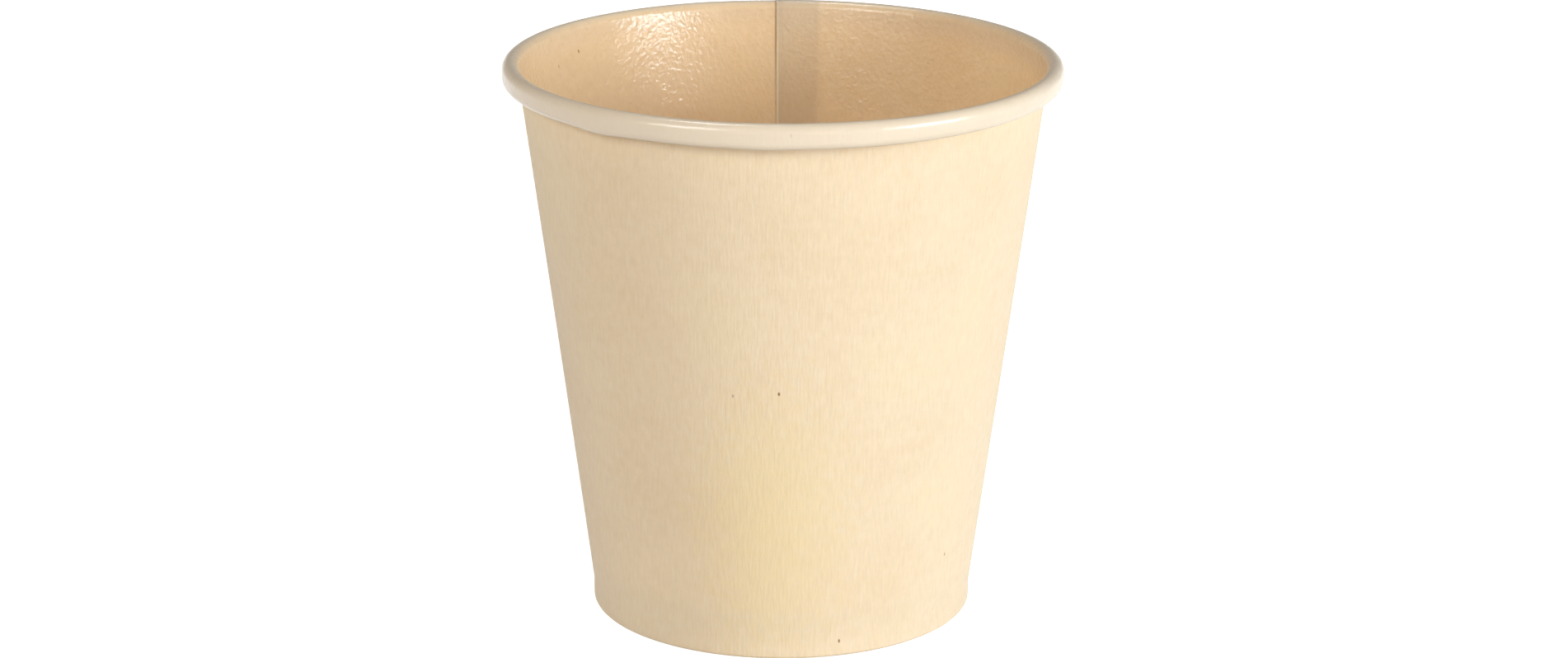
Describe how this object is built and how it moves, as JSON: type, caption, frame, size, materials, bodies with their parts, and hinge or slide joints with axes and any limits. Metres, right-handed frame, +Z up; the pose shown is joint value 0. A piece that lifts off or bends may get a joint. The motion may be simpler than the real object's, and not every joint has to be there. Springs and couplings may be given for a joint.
{
  "type": "paper coffee cup",
  "caption": "Small tapered paper cup for hot drinks, with a rolled lip, a lapped wall seam, a folded foot and a raised base disc.",
  "frame": {"origin": "centre of the foot, on the surface that the cup stands on", "axes": "+Z up along the cup's axis; the sealed lap of the wall is at the back, towards +Y"},
  "size_m": [0.0618, 0.062, 0.0625],
  "materials": {
    "wall_board": "matte",
    "base_board": "satin"
  },
  "bodies": {
    "root": {"side_wall": "wall_board", "base_disc": "base_board"}
  },
  "joints": []
}
